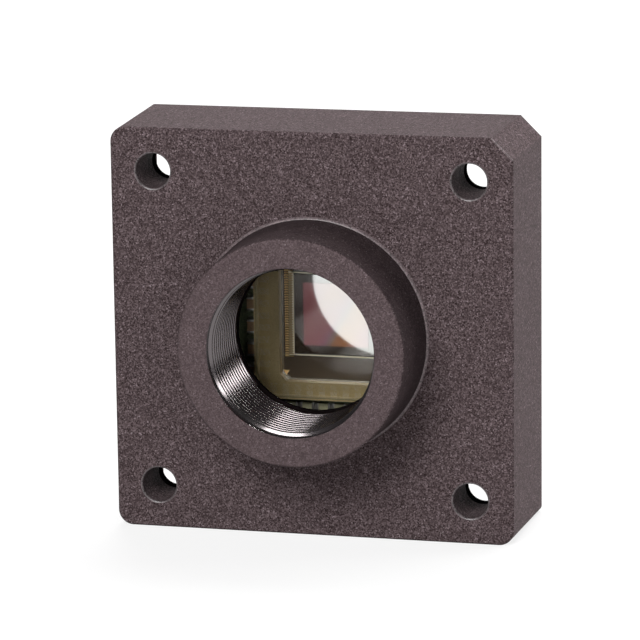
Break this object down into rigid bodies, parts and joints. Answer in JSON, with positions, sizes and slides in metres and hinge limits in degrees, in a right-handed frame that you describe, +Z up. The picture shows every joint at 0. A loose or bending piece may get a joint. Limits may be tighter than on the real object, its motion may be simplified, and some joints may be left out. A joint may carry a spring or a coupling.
{
  "type": "machine vision camera",
  "caption": "Square machine vision camera: textured metal front with an open threaded lens nose, corner mounting holes, bare sensor board and a data receptacle at its back.",
  "frame": {"origin": "optical axis at the flat front face of the housing, which is the centre of the mounting hole pattern", "axes": "+X to the right seen from the front, +Y along the optical axis into the camera, +Z up"},
  "size_m": [0.029, 0.0199, 0.029],
  "materials": {
    "housing": "fine-textured black powder coat",
    "board": "solder-masked glass-epoxy laminate",
    "ceramic": "satin brown-olive ceramic",
    "silicon": "polished silicon with colour filters",
    "gold": "bright gold",
    "glass": "clear, polished",
    "solder": "satin tin",
    "chip_ceramic": "tan chip ceramic with tin ends",
    "resistor": "black glaze with tin ends",
    "steel": "nickel-plated sheet steel",
    "connector_black": "moulded nylon",
    "connector_white": "moulded nylon, natural",
    "mould_compound": "moulded epoxy",
    "can": "gilded ceramic with a metal lid",
    "inductor": "pressed ferrite powder",
    "led": "milky resin",
    "screw": "black-oxide steel"
  },
  "bodies": {
    "root": {"front_housing": "housing", "sensor_board": "board", "board_screws": "screw", "sensor_package": "ceramic", "sensor_lands": "solder", "sensor_die": "silicon", "bond_wires": "gold", "cover_glass": "glass", "sensor_side_capacitors": "chip_ceramic", "sensor_side_resistors": "resistor", "usb_receptacle_shell": "steel", "usb_insulator": "connector_black", "usb_contacts": "gold", "io_connector_body": "connector_white", "io_connector_pins": "solder", "image_processor": "mould_compound", "usb_controller": "mould_compound", "flash_memory": "mould_compound", "clock_oscillator": "can", "power_inductors": "inductor", "voltage_regulators": "mould_compound", "status_led": "led", "rear_capacitors": "chip_ceramic", "rear_resistors": "resistor"}
  },
  "joints": []
}
